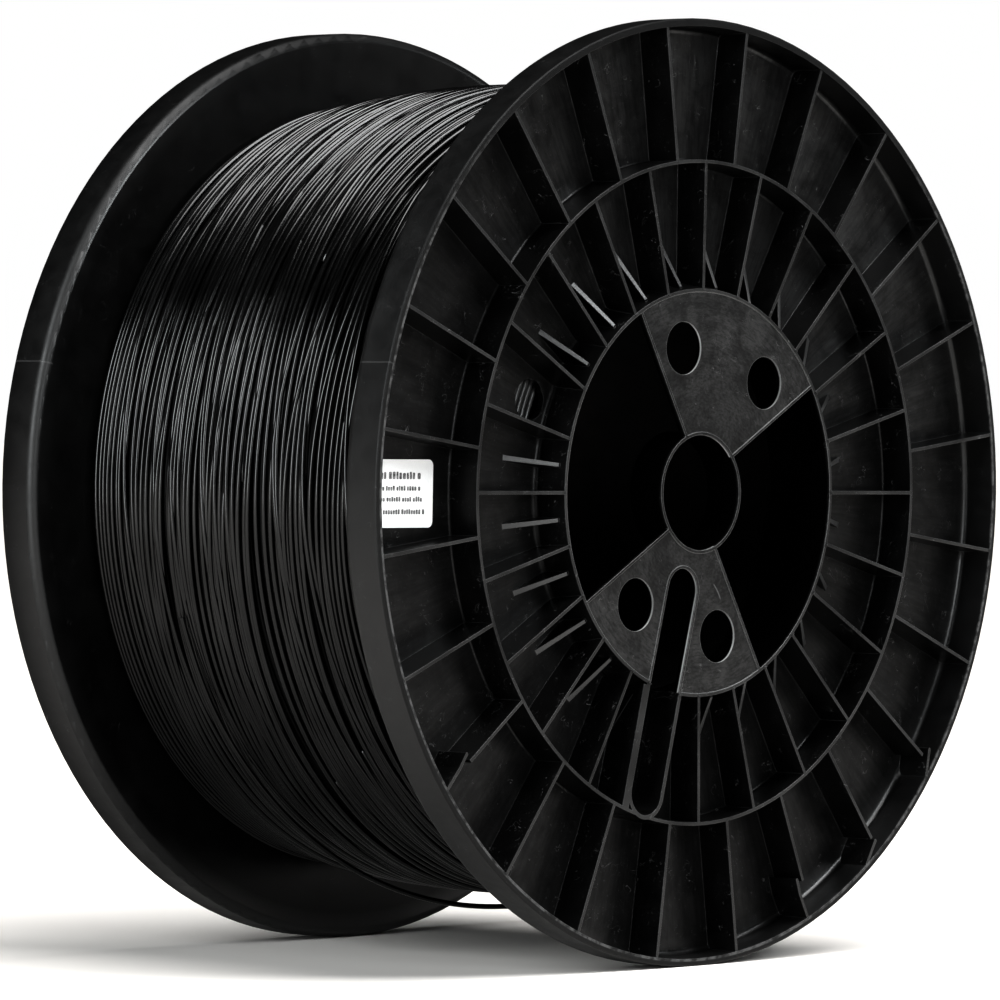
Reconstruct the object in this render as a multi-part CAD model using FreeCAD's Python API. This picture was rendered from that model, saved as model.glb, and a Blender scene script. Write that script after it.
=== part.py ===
import FreeCAD, Part
import math
import os

# Large plastic filament spool: two identical ribbed flanges on a core tube, wound with round filament.
# Millimetres. The spool axis is Y, the spool stands on its rims, the open front flange faces -Y.

# ---- overall ----
SPOOL_DIAMETER = 300.0
SPOOL_WIDTH = 164.0
FLANGE_R = SPOOL_DIAMETER / 2
HALF_WIDTH = SPOOL_WIDTH / 2

# ---- flange section: depth is measured inwards from the outer face of the rim ----
FLANGE_DEPTH = 14.0
RIM_WALL = 2.4
RIM_OUTER_ROUND = 0.6
RIM_INNER_ROUND = 3.0
FLOOR_FRONT = 11.8
RIB_FRONT = 0.2
HUB_RING_FRONT = 0.7
RIM_FLOOR_FILLET = 2.0
HUB_FLOOR_FILLET = 2.0
MID_RING_OUTER_R = 105.5
MID_RING_INNER_R = 104.4
MID_RING_FILLET = 0.8
HUB_RING_OUTER_R = 64.7
HUB_RING_INNER_R = 63.6
HUB_RING_FOOT_R = 66.4
SPIGOT_END = 26.0
FUSE_OVERLAP = 0.4

# ---- ribs and gussets ----
RIB_WALL = 1.1
CELL_ANGLE = 15.0
CELL_COUNT = 24
OUTER_RIB_OFFSET = 7.5
SLOT_ANGLE = 255.0
VIEW_HOLE_ANGLE = 157.5
GUSSET_TOP_DEPTH = 2.9
GUSSET_TOP_R = 65.8
GUSSET_FOOT_R = 82.2
GUSSET_TOP_WALL = 1.2
GUSSET_FOOT_WALL = 1.8
CELLS_WITHOUT_GUSSET = (157.5, 247.5, 262.5)

# ---- hub web, bore and holes ----
BORE_R = 18.3
BORE_RING_WALL = 1.0
BORE_RING_FRONT = 0.7
WEB_FRONT = 1.0
WEB_WALL = 2.0
WEB_OUTER_HALF_ANGLE = 42.5
WEB_INNER_HALF_ANGLE = 37.2
WEB_ANGLES = (75.0, 255.0)
BEAD_HEIGHT = 0.3
BEAD_WIDTH = 0.9
DRIVE_HOLE_R = 8.4
DRIVE_HOLE_PITCH_R = 46.5
DRIVE_HOLE_SPREAD = 26.0
SLOT_WIDTH = 14.0
SLOT_WALL = 1.4
SLOT_THICK_WALL = 3.0
SLOT_INNER_R = 25.0
SLOT_OUTER_R = 104.6
VIEW_HOLE_R = 6.5
VIEW_HOLE_PITCH_R = 75.0

# ---- filament clips at the rim end of four outer ribs: rib angle, rib end radius, finger points ----
CLIPS = (
    (217.5, 134.5, ((148.0, 217.7), (139.5, 217.0), (134.5, 216.3))),
    (292.5, 135.5, ((148.0, 291.7), (139.0, 291.3), (134.2, 291.4))),
    (307.5, 142.3, ((148.0, 304.6), (144.2, 307.9))),
    (322.5, 142.0, ((148.0, 320.8), (143.8, 323.9))),
)

# ---- core tube and filament ----
BARREL_OUTER_R = 67.5
BARREL_INNER_R = 64.9
FILAMENT_DIAMETER = 1.75
TURN_PITCH = 2.3
TURN_COUNT = 57
CREST_SHARE = 0.55
GROOVE_DEPTH = 0.8
WINDING_HALF_LENGTH = 66.3
WINDING_END_R = 126.0
WINDING_CROWN = 5.5

# ---- loose filament end: corners of its route as angle round the axis, radius, position along the axis ----
TAIL_ROUTE = (
    (198.0, 131.9, 25.0),
    (206.0, 133.2, 24.0),
    (218.0, 134.2, 21.8),
    (232.0, 135.4, 18.0),
    (247.0, 136.6, 12.8),
    (262.0, 137.2, 6.0),
    (277.0, 137.0, -3.5),
    (291.0, 136.4, -16.0),
    (304.0, 135.6, -30.5),
    (316.0, 135.0, -45.0),
    (326.0, 134.6, -57.0),
    (334.5, 134.2, -64.2),
    (343.0, 133.6, -66.6),
)
ARC_SHARE = 0.45

# ---- product label, stuck on the floor of the outer cell that points to -X ----
LABEL_INNER_R = 112.8
LABEL_LENGTH = 31.0
LABEL_HEIGHT = 20.8
LABEL_CENTRE_Z = -0.4
LABEL_CORNER = 2.0
LABEL_THICKNESS = 0.15

AXIS = FreeCAD.Vector(0, 1, 0)
ORIGIN = FreeCAD.Vector(0, 0, 0)
FRONT_Y = -HALF_WIDTH


def polar(radius, angle, y):
    """Point at a radius and angle round the spool axis, angle measured from +X towards +Z."""
    turn = math.radians(angle)
    return FreeCAD.Vector(radius * math.cos(turn), y, radius * math.sin(turn))


def section_point(radius, depth):
    """Point of the flange section, depth measured inwards from the front face of the rim."""
    return FreeCAD.Vector(radius, FRONT_Y + depth, 0)


def fillet_mid(corner_centre, radius, direction):
    """Middle point of a quarter arc about a centre, direction being the signs of radius and depth."""
    reach = radius / math.sqrt(2.0)
    return section_point(corner_centre[0] + direction[0] * reach, corner_centre[1] + direction[1] * reach)


def revolve_edges(edges):
    face = Part.Face(Part.Wire(edges))
    return face.revolve(ORIGIN, AXIS, 360)


def arc_edge(start, middle, end):
    return Part.Arc(start, middle, end).toShape()


def flange_of_revolution():
    """Rim, floor, both rings and the spigot that enters the core tube, as one turned body."""
    rim_inner_r = FLANGE_R - RIM_WALL
    path = []

    def line(start, end):
        path.append(Part.makeLine(section_point(*start), section_point(*end)))

    def corner(start, centre, radius, direction, end):
        path.append(arc_edge(section_point(*start), fillet_mid(centre, radius, direction), section_point(*end)))

    line((HUB_RING_INNER_R, HUB_RING_FRONT), (HUB_RING_INNER_R, SPIGOT_END))
    line((HUB_RING_INNER_R, SPIGOT_END), (HUB_RING_OUTER_R, SPIGOT_END))
    line((HUB_RING_OUTER_R, SPIGOT_END), (HUB_RING_OUTER_R, FLANGE_DEPTH))
    inner_round_start = (FLANGE_R - RIM_INNER_ROUND, FLANGE_DEPTH)
    inner_round_end = (FLANGE_R, FLANGE_DEPTH - RIM_INNER_ROUND)
    line((HUB_RING_OUTER_R, FLANGE_DEPTH), inner_round_start)
    inner_centre = (FLANGE_R - RIM_INNER_ROUND, FLANGE_DEPTH - RIM_INNER_ROUND)
    corner(inner_round_start, inner_centre, RIM_INNER_ROUND, (1, 1), inner_round_end)
    line(inner_round_end, (FLANGE_R, RIM_OUTER_ROUND))
    outer_centre = (FLANGE_R - RIM_OUTER_ROUND, RIM_OUTER_ROUND)
    corner((FLANGE_R, RIM_OUTER_ROUND), outer_centre, RIM_OUTER_ROUND, (1, -1), (FLANGE_R - RIM_OUTER_ROUND, 0))
    line((FLANGE_R - RIM_OUTER_ROUND, 0), (rim_inner_r, 0))
    rim_foot = (rim_inner_r, FLOOR_FRONT - RIM_FLOOR_FILLET)
    rim_floor = (rim_inner_r - RIM_FLOOR_FILLET, FLOOR_FRONT)
    rim_centre = (rim_floor[0], rim_foot[1])
    line((rim_inner_r, 0), rim_foot)
    corner(rim_foot, rim_centre, RIM_FLOOR_FILLET, (1, 1), rim_floor)
    mid_out_floor = (MID_RING_OUTER_R + MID_RING_FILLET, FLOOR_FRONT)
    mid_out_foot = (MID_RING_OUTER_R, FLOOR_FRONT - MID_RING_FILLET)
    line(rim_floor, mid_out_floor)
    mid_out_centre = (mid_out_floor[0], mid_out_foot[1])
    corner(mid_out_floor, mid_out_centre, MID_RING_FILLET, (-1, 1), mid_out_foot)
    line(mid_out_foot, (MID_RING_OUTER_R, RIB_FRONT))
    line((MID_RING_OUTER_R, RIB_FRONT), (MID_RING_INNER_R, RIB_FRONT))
    mid_in_foot = (MID_RING_INNER_R, FLOOR_FRONT - MID_RING_FILLET)
    mid_in_floor = (MID_RING_INNER_R - MID_RING_FILLET, FLOOR_FRONT)
    line((MID_RING_INNER_R, RIB_FRONT), mid_in_foot)
    corner(mid_in_foot, (mid_in_floor[0], mid_in_foot[1]), MID_RING_FILLET, (1, 1), mid_in_floor)
    hub_floor = (HUB_RING_FOOT_R + HUB_FLOOR_FILLET, FLOOR_FRONT)
    hub_foot = (HUB_RING_FOOT_R, FLOOR_FRONT - HUB_FLOOR_FILLET)
    line(mid_in_floor, hub_floor)
    corner(hub_floor, (hub_floor[0], hub_foot[1]), HUB_FLOOR_FILLET, (-1, 1), hub_foot)
    line(hub_foot, (HUB_RING_OUTER_R, HUB_RING_FRONT))
    line((HUB_RING_OUTER_R, HUB_RING_FRONT), (HUB_RING_INNER_R, HUB_RING_FRONT))
    return revolve_edges(path)


def space_above_inner_ribs():
    """Ring of space over the inner cells, whose floor rises from the hub ring's top to the mid ring's top."""
    beyond = MID_RING_OUTER_R + 2.0
    corners = [
        section_point(HUB_RING_OUTER_R, -1.0),
        section_point(beyond, -1.0),
        section_point(beyond, RIB_FRONT),
        section_point(MID_RING_INNER_R, RIB_FRONT),
        section_point(HUB_RING_OUTER_R, HUB_RING_FRONT),
    ]
    corners.append(corners[0])
    return Part.Face(Part.makePolygon(corners)).revolve(ORIGIN, AXIS, 360)


def radial_box(angle, start_r, end_r, width, depth_from, depth_to):
    """Plate lying along a radius, centred on it."""
    box = Part.makeBox(
        end_r - start_r,
        depth_to - depth_from,
        width,
        FreeCAD.Vector(start_r, FRONT_Y + depth_from, -width / 2),
    )
    box.rotate(ORIGIN, AXIS, -angle)
    return box


def upright_wall(points, wall, depth_from, depth_to):
    """Thin wall standing on a polyline of (radius, angle) points, with round ends and knees."""
    solids = []
    for start, end in zip(points[:-1], points[1:]):
        a = polar(start[0], start[1], FRONT_Y + depth_from)
        b = polar(end[0], end[1], FRONT_Y + depth_from)
        along = b.sub(a)
        along.normalize()
        side = AXIS.cross(along)
        side.multiply(wall / 2)
        corners = [a.add(side), b.add(side), b.sub(side), a.sub(side), a.add(side)]
        face = Part.Face(Part.makePolygon(corners))
        solids.append(face.extrude(FreeCAD.Vector(0, depth_to - depth_from, 0)))
    for point in points:
        foot = polar(point[0], point[1], FRONT_Y + depth_from)
        solids.append(Part.makeCylinder(wall / 2, depth_to - depth_from, foot, AXIS))
    return solids


def gusset(angle):
    """Tapered stiffener falling from the hub ring to the floor, thicker at its foot."""
    inner_r = HUB_RING_OUTER_R - FUSE_OVERLAP
    foot = FLOOR_FRONT + FUSE_OVERLAP
    slope = (GUSSET_FOOT_R - GUSSET_TOP_R) / (FLOOR_FRONT - GUSSET_TOP_DEPTH)
    foot_r = GUSSET_FOOT_R + slope * FUSE_OVERLAP
    plate = Part.makeWedge(
        inner_r, FRONT_Y + GUSSET_TOP_DEPTH, -GUSSET_TOP_WALL / 2, -GUSSET_FOOT_WALL / 2, inner_r,
        GUSSET_TOP_R, FRONT_Y + foot, GUSSET_TOP_WALL / 2, GUSSET_FOOT_WALL / 2, foot_r,
    )
    plate.rotate(ORIGIN, AXIS, -angle)
    return plate


def fan_web(angle):
    """Flat fan-shaped web between the bore ring and the hub ring, with a raised bead on both edges."""
    inner_r = BORE_R + BORE_RING_WALL / 2
    outer_r = (HUB_RING_INNER_R + HUB_RING_OUTER_R) / 2
    inner_low = angle - WEB_INNER_HALF_ANGLE
    inner_high = angle + WEB_INNER_HALF_ANGLE
    outer_low = angle - WEB_OUTER_HALF_ANGLE
    outer_high = angle + WEB_OUTER_HALF_ANGLE
    front = FRONT_Y + WEB_FRONT
    outline = Part.Wire([
        Part.makeLine(polar(inner_r, inner_low, front), polar(outer_r, outer_low, front)),
        arc_edge(polar(outer_r, outer_low, front), polar(outer_r, angle, front), polar(outer_r, outer_high, front)),
        Part.makeLine(polar(outer_r, outer_high, front), polar(inner_r, inner_high, front)),
        arc_edge(polar(inner_r, inner_high, front), polar(inner_r, angle, front), polar(inner_r, inner_low, front)),
    ])
    pieces = [Part.Face(outline).extrude(FreeCAD.Vector(0, WEB_WALL, 0))]
    bead_top = WEB_FRONT - BEAD_HEIGHT
    for inner_angle, outer_angle in ((inner_low, outer_low), (inner_high, outer_high)):
        ends = ((inner_r, inner_angle), (outer_r, outer_angle))
        pieces.extend(upright_wall(ends, BEAD_WIDTH, bead_top, WEB_FRONT + WEB_WALL))
    return pieces


def obround(angle, inner_r, outer_r, width, depth_from, depth_to):
    """Solid with round ends lying along a radius, from inner_r to outer_r over the round ends."""
    half = width / 2
    length = depth_to - depth_from
    body = radial_box(angle, inner_r + half, outer_r - half, width, depth_from, depth_to)
    near = Part.makeCylinder(half, length, polar(inner_r + half, angle, FRONT_Y + depth_from), AXIS)
    far = Part.makeCylinder(half, length, polar(outer_r - half, angle, FRONT_Y + depth_from), AXIS)
    return body.fuse([near, far])


def slot_walls():
    """Side walls of the slot outside the hub ring, and the raised bead round the slot in the web."""
    foot = FLOOR_FRONT + FUSE_OVERLAP
    outer = obround(
        SLOT_ANGLE, SLOT_INNER_R - SLOT_WALL, SLOT_OUTER_R + SLOT_WALL, SLOT_WIDTH + 2 * SLOT_WALL,
        RIB_FRONT, foot,
    )
    thick_wall = Part.makeBox(
        MID_RING_INNER_R - HUB_RING_OUTER_R + FUSE_OVERLAP,
        foot - RIB_FRONT,
        SLOT_THICK_WALL,
        FreeCAD.Vector(HUB_RING_OUTER_R, FRONT_Y + RIB_FRONT, -SLOT_WIDTH / 2 - SLOT_THICK_WALL),
    )
    thick_wall.rotate(ORIGIN, AXIS, -SLOT_ANGLE)
    hub_core = Part.makeCylinder(
        HUB_RING_OUTER_R - FUSE_OVERLAP, SPIGOT_END, FreeCAD.Vector(0, FRONT_Y, 0), AXIS
    )
    walls = outer.fuse([thick_wall]).cut(hub_core)
    bead = obround(
        SLOT_ANGLE, SLOT_INNER_R - BEAD_WIDTH, SLOT_OUTER_R, SLOT_WIDTH + 2 * BEAD_WIDTH,
        WEB_FRONT - BEAD_HEIGHT, WEB_FRONT + WEB_WALL / 2,
    )
    hub_disc = Part.makeCylinder(HUB_RING_INNER_R + FUSE_OVERLAP, SPIGOT_END, FreeCAD.Vector(0, FRONT_Y, 0), AXIS)
    return [walls, bead.common(hub_disc)]


def front_flange():
    solids = []
    rim_inner_r = FLANGE_R - RIM_WALL
    rib_foot = FLOOR_FRONT + FUSE_OVERLAP
    clip_rib_end = {clip[0]: clip[1] for clip in CLIPS}
    for index in range(CELL_COUNT):
        inner_angle = index * CELL_ANGLE
        outer_angle = inner_angle + OUTER_RIB_OFFSET
        if inner_angle != SLOT_ANGLE:
            start_r = HUB_RING_OUTER_R - FUSE_OVERLAP
            end_r = MID_RING_INNER_R + FUSE_OVERLAP
            solids.append(radial_box(inner_angle, start_r, end_r, RIB_WALL, RIB_FRONT, rib_foot))
        rib_end = clip_rib_end.get(outer_angle, rim_inner_r + FUSE_OVERLAP)
        start_r = MID_RING_OUTER_R - FUSE_OVERLAP
        solids.append(radial_box(outer_angle, start_r, rib_end, RIB_WALL, RIB_FRONT, rib_foot))
        if outer_angle not in CELLS_WITHOUT_GUSSET:
            solids.append(gusset(outer_angle))
    for clip in CLIPS:
        solids.extend(upright_wall(clip[2], RIB_WALL, RIB_FRONT, rib_foot))
    for angle in WEB_ANGLES:
        solids.extend(fan_web(angle))
    bore_depth = FLANGE_DEPTH - BORE_RING_FRONT
    bore_foot = FreeCAD.Vector(0, FRONT_Y + BORE_RING_FRONT, 0)
    solids.append(Part.makeCylinder(BORE_R + BORE_RING_WALL, bore_depth, bore_foot, AXIS))
    solids.extend(slot_walls())
    body = flange_of_revolution().fuse(solids)

    through = 2 * FLANGE_DEPTH
    bore = Part.makeCylinder(BORE_R, through, FreeCAD.Vector(0, FRONT_Y - 1, 0), AXIS)
    cuts = [bore, space_above_inner_ribs()]
    for web_angle in WEB_ANGLES:
        for side in (-1, 1):
            centre = polar(DRIVE_HOLE_PITCH_R, web_angle + side * DRIVE_HOLE_SPREAD, FRONT_Y - 1)
            cuts.append(Part.makeCylinder(DRIVE_HOLE_R, through, centre, AXIS))
    cuts.append(obround(SLOT_ANGLE, SLOT_INNER_R, SLOT_OUTER_R, SLOT_WIDTH, -1.0, FLANGE_DEPTH + FUSE_OVERLAP))
    view_centre = polar(VIEW_HOLE_PITCH_R, VIEW_HOLE_ANGLE, FRONT_Y - 1)
    cuts.append(Part.makeCylinder(VIEW_HOLE_R, through, view_centre, AXIS))
    return body.cut(cuts).removeSplitter()


def barrel():
    length = SPOOL_WIDTH - 2 * FLANGE_DEPTH
    foot = FreeCAD.Vector(0, -length / 2, 0)
    tube = Part.makeCylinder(BARREL_OUTER_R, length, foot, AXIS)
    hollow = Part.makeCylinder(BARREL_INNER_R, length, foot, AXIS)
    return tube.cut(hollow)


def winding_radius(y):
    share = y / WINDING_HALF_LENGTH
    return WINDING_END_R + WINDING_CROWN * (1.0 - share * share)


def filament_winding():
    """Wound pack with one flat-topped ridge for every turn of its outermost layer."""
    half_crest = FILAMENT_DIAMETER * CREST_SHARE / 2
    profile = [(BARREL_OUTER_R, -WINDING_HALF_LENGTH)]
    profile.append((winding_radius(WINDING_HALF_LENGTH) - GROOVE_DEPTH, -WINDING_HALF_LENGTH))
    for turn in range(TURN_COUNT):
        y = (turn - (TURN_COUNT - 1) / 2) * TURN_PITCH
        crest_r = winding_radius(y)
        profile.append((crest_r, y - half_crest))
        profile.append((crest_r, y + half_crest))
        if turn < TURN_COUNT - 1:
            groove_y = y + TURN_PITCH / 2
            profile.append((winding_radius(groove_y) - GROOVE_DEPTH, groove_y))
    profile.append((winding_radius(WINDING_HALF_LENGTH) - GROOVE_DEPTH, WINDING_HALF_LENGTH))
    profile.append((BARREL_OUTER_R, WINDING_HALF_LENGTH))
    profile.append(profile[0])
    outline = Part.makePolygon([FreeCAD.Vector(radius, y, 0) for radius, y in profile])
    return Part.Face(outline).revolve(ORIGIN, AXIS, 360)


def rounded_route(corners):
    """Wire of straight runs joined by tangent arcs, each arc as large as its two runs allow."""
    edges = []
    last = corners[0]
    radii = []
    for index in range(1, len(corners) - 1):
        corner = corners[index]
        back = corners[index - 1].sub(corner)
        ahead = corners[index + 1].sub(corner)
        reach = ARC_SHARE * min(back.Length, ahead.Length)
        back.normalize()
        ahead.normalize()
        half_turn = (math.pi - back.getAngle(ahead)) / 2
        radius = reach / math.tan(half_turn)
        start = corner.add(FreeCAD.Vector(back).multiply(reach))
        end = corner.add(FreeCAD.Vector(ahead).multiply(reach))
        middle_line = back.add(ahead)
        middle_line.normalize()
        sagitta = radius / math.cos(half_turn) - radius
        middle = corner.add(middle_line.multiply(sagitta))
        edges.append(Part.makeLine(last, start))
        edges.append(arc_edge(start, middle, end))
        radii.append(radius)
        last = end
    edges.append(Part.makeLine(last, corners[-1]))
    print("tail arc radii", [round(radius, 1) for radius in radii])
    return Part.Wire(edges)


def filament_tail():
    """Free end of the filament: leaves the pack, hangs clear under it and ends at the front flange."""
    corners = [polar(radius, angle, y) for angle, radius, y in TAIL_ROUTE]
    path = rounded_route(corners)
    section = Part.Wire([Part.makeCircle(FILAMENT_DIAMETER / 2, corners[0], corners[1].sub(corners[0]))])
    tube = path.makePipeShell([section], True, False)
    expected = math.pi * (FILAMENT_DIAMETER / 2) ** 2 * path.Length
    print("tail length", round(path.Length, 1), "volume", round(tube.Volume, 1), "expected", round(expected, 1))
    return tube


def product_label():
    """Rectangular paper label with round corners, lying on the floor of the cell."""
    x0 = -(LABEL_INNER_R + LABEL_LENGTH)
    z0 = LABEL_CENTRE_Z - LABEL_HEIGHT / 2
    y0 = FRONT_Y + FLOOR_FRONT - LABEL_THICKNESS
    sheet = Part.makeBox(LABEL_LENGTH, LABEL_THICKNESS, LABEL_HEIGHT, FreeCAD.Vector(x0, y0, z0))
    corners = [edge for edge in sheet.Edges if abs(edge.Length - LABEL_THICKNESS) < 1e-6]
    return sheet.makeFillet(LABEL_CORNER, corners)


def as_solid(shape):
    if shape.ShapeType == "Solid":
        return shape
    if len(shape.Solids) == 1:
        return shape.Solids[0]
    if not shape.Solids and shape.Shells:
        return Part.Solid(shape.Shells[0])
    raise ValueError("expected one solid, found %d" % len(shape.Solids))


def main():
    os.makedirs("parts", exist_ok=True)
    front = as_solid(front_flange())
    rear = front.copy()
    rear.rotate(ORIGIN, FreeCAD.Vector(0, 0, 1), 180)
    nodes = {
        "front_flange": front,
        "rear_flange": rear,
        "barrel": as_solid(barrel()),
        "filament_winding": as_solid(filament_winding()),
        "filament_tail": as_solid(filament_tail()),
        "product_label": as_solid(product_label()),
    }
    for name, shape in nodes.items():
        box = shape.BoundBox
        print(name, shape.ShapeType, shape.isValid(), "volume", round(shape.Volume, 1),
              "x", round(box.XMin, 2), round(box.XMax, 2), "y", round(box.YMin, 2), round(box.YMax, 2),
              "z", round(box.ZMin, 2), round(box.ZMax, 2))
        if not shape.isValid() or shape.Volume <= 0:
            raise ValueError("bad solid: " + name)
        shape.exportStep(os.path.join("parts", name + ".step"))


main()
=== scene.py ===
"""Looks of the filament spool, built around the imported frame. Metres, +Z up, spool axis along Y."""
import math

import bpy
import numpy as np
from mathutils import Matrix, Vector


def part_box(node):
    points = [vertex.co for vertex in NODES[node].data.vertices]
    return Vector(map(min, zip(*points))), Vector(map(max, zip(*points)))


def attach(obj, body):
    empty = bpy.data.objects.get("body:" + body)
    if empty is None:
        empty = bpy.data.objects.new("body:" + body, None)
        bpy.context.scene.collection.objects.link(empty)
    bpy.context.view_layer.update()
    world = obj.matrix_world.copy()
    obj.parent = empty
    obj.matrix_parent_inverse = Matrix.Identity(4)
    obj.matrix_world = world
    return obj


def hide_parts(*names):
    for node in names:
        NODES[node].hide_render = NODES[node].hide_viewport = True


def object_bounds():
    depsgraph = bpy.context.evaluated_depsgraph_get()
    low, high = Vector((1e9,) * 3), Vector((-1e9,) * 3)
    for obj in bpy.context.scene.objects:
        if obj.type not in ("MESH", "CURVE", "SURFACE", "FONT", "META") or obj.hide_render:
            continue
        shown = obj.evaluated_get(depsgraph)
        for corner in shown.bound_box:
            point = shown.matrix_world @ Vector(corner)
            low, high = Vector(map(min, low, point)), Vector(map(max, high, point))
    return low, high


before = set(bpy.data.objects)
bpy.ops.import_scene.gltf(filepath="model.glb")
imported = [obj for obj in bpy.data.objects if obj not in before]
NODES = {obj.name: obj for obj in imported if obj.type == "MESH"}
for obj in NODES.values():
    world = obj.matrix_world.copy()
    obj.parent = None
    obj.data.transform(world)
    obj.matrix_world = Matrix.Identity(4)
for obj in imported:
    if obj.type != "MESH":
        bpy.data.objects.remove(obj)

CAD_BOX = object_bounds()
MM = 0.001
TAU = 2.0 * math.pi
RANDOM = np.random.default_rng(41)

# ---------------------------------------------------------------- sizes, in millimetres
SPOOL_RADIUS = (CAD_BOX[1][2] - CAD_BOX[0][2]) / 2 / MM
SPOOL_HALF_WIDTH = (CAD_BOX[1][1] - CAD_BOX[0][1]) / 2 / MM
FILAMENT_DIAMETER = 1.75
FILAMENT_RADIUS = FILAMENT_DIAMETER / 2
WINDING_HALF_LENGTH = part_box("filament_winding")[1][1] / MM
WINDING_TOP_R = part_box("filament_winding")[1][2] / MM
# how much lower the winding's surface is at its ends than in its middle
WINDING_CROWN = 5.5
CORE_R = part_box("barrel")[1][2] / MM
HUB_RING_INNER_R = 63.6
HUB_RING_OUTER_R = 64.7
HUB_RING_FACE_Y = SPOOL_HALF_WIDTH - 0.7
MID_RING_R = 104.4
RIB_COUNT = 24
GUSSET_TOP_R = 65.8
GUSSET_FOOT_R = 82.2
GUSSET_TOP_Y = SPOOL_HALF_WIDTH - 2.9
RIM_INNER_R = 147.6
RIB_FACE_Y = SPOOL_HALF_WIDTH - 0.2
FLOOR_FACE_Y = SPOOL_HALF_WIDTH - 11.8
WEB_FACE_Y = SPOOL_HALF_WIDTH - 1.0
# the line through the middles of the front flange's webs, and the sine of the angle its holes keep within
WEB_MIDDLE_ANGLE = math.radians(75.0)
WEB_EDGE_SINE = 0.6
PARTING_ANGLE = math.radians(15.2)
# x and z
SCRATCH_MIDDLE = (8.7, -31.3)
SCRATCH_DIRECTION = (0.584, -0.812)

# ---------------------------------------------------------------- stage
STAGE_HALF_SIZE = 30.0
FLOOR_GREY = 0.64
FLOOR_WARMTH = 0.035
STUDIO_TINT = (0.95, 0.985, 1.0)
ROOM_LIGHT = 0.02
BACKDROP_LIGHT = 1.0

# ---------------------------------------------------------------- camera
CAMERA_AZIMUTH = -47.45
CAMERA_ELEVATION = 0.67
CAMERA_ROLL = 0.65
CAMERA_DISTANCE = 2.1185
CAMERA_OFFSET = (-0.00393, -0.00362)
CAMERA_LENS = 234.5


def direction(azimuth, elevation):
    """Unit vector for an azimuth of 0 at -Y, turning towards +X, and an elevation, in degrees."""
    az, el = math.radians(azimuth), math.radians(elevation)
    return Vector((math.sin(az) * math.cos(el), -math.cos(az) * math.cos(el), math.sin(el)))


def add_camera():
    """The camera on its solved place, turned about its own line of sight by the roll."""
    back = direction(CAMERA_AZIMUTH, CAMERA_ELEVATION)
    right = Vector((math.cos(math.radians(CAMERA_AZIMUTH)), math.sin(math.radians(CAMERA_AZIMUTH)), 0.0))
    up = back.cross(right)
    roll = math.radians(CAMERA_ROLL)
    x_axis = math.cos(roll) * right + math.sin(roll) * up
    y_axis = -math.sin(roll) * right + math.cos(roll) * up
    place = CAMERA_DISTANCE * back + CAMERA_OFFSET[0] * x_axis + CAMERA_OFFSET[1] * y_axis
    data = bpy.data.cameras.new("camera")
    data.sensor_width = 36.0
    data.lens = CAMERA_LENS
    data.clip_start = 0.05
    data.clip_end = 200.0
    camera = bpy.data.objects.new("camera", data)
    bpy.context.scene.collection.objects.link(camera)
    turned = Matrix((x_axis, y_axis, back)).transposed().to_4x4()
    camera.matrix_world = Matrix.Translation(place) @ turned
    bpy.context.scene.camera = camera


def around(angle, radius, y):
    """The point at an angle in degrees and a radius about the spool's axis; millimetres in, metres out."""
    turn = math.radians(angle)
    return Vector((radius * math.cos(turn) * MM, y * MM, radius * math.sin(turn) * MM))


# ---------------------------------------------------------------- the filament's loose end
TAIL_ROUTE = (
    (198.0, 131.9, 25.0),
    (206.0, 133.2, 24.0),
    (218.0, 134.2, 21.8),
    (232.0, 135.4, 18.0),
    (247.0, 136.6, 12.8),
    (262.0, 137.2, 6.0),
    (277.0, 137.0, -3.5),
    (291.0, 136.4, -16.0),
    (304.0, 135.6, -30.5),
    (316.0, 135.0, -45.0),
    (326.0, 134.6, -57.0),
    (334.5, 134.2, -64.2),
    (343.0, 133.6, -66.6),
)


def add_tail():
    """The free end of the filament, from where it leaves the winding to the front flange."""
    data = bpy.data.curves.new("filament_loose_end", "CURVE")
    data.dimensions = "3D"
    spline = data.splines.new("NURBS")
    spline.points.add(len(TAIL_ROUTE) - 1)
    for point, (angle, radius, y) in zip(spline.points, TAIL_ROUTE):
        point.co = (*around(angle, radius, y), 1.0)
        point.radius = FILAMENT_RADIUS * MM
    spline.order_u = 3
    spline.use_endpoint_u = True
    spline.resolution_u = 16
    data.bevel_depth = 1.0
    data.bevel_resolution = 3
    data.use_fill_caps = True
    tail = bpy.data.objects.new("filament_loose_end", data)
    bpy.context.scene.collection.objects.link(tail)
    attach(tail, "root")
    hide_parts("filament_tail")
    return tail


# ---------------------------------------------------------------- meshes
def mesh_object(name, vertices, faces, smooth=True):
    """A mesh object that rides on the spool, from vertices in metres and faces as index lists."""
    vertices = np.asarray(vertices, dtype=np.float32)
    counts = np.array([len(face) for face in faces], dtype=np.int32)
    starts = np.cumsum(counts, dtype=np.int32) - counts
    corners = np.concatenate([np.asarray(face, dtype=np.int32) for face in faces])
    data = bpy.data.meshes.new(name)
    data.vertices.add(len(vertices))
    data.vertices.foreach_set("co", vertices.ravel())
    data.loops.add(len(corners))
    data.loops.foreach_set("vertex_index", corners)
    data.polygons.add(len(counts))
    data.polygons.foreach_set("loop_start", starts)
    data.polygons.foreach_set("loop_total", counts)
    data.update(calc_edges=True)
    data.validate()
    data.polygons.foreach_set("use_smooth", np.full(len(data.polygons), smooth))
    made = bpy.data.objects.new(name, data)
    bpy.context.scene.collection.objects.link(made)
    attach(made, "root")
    return made


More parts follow.
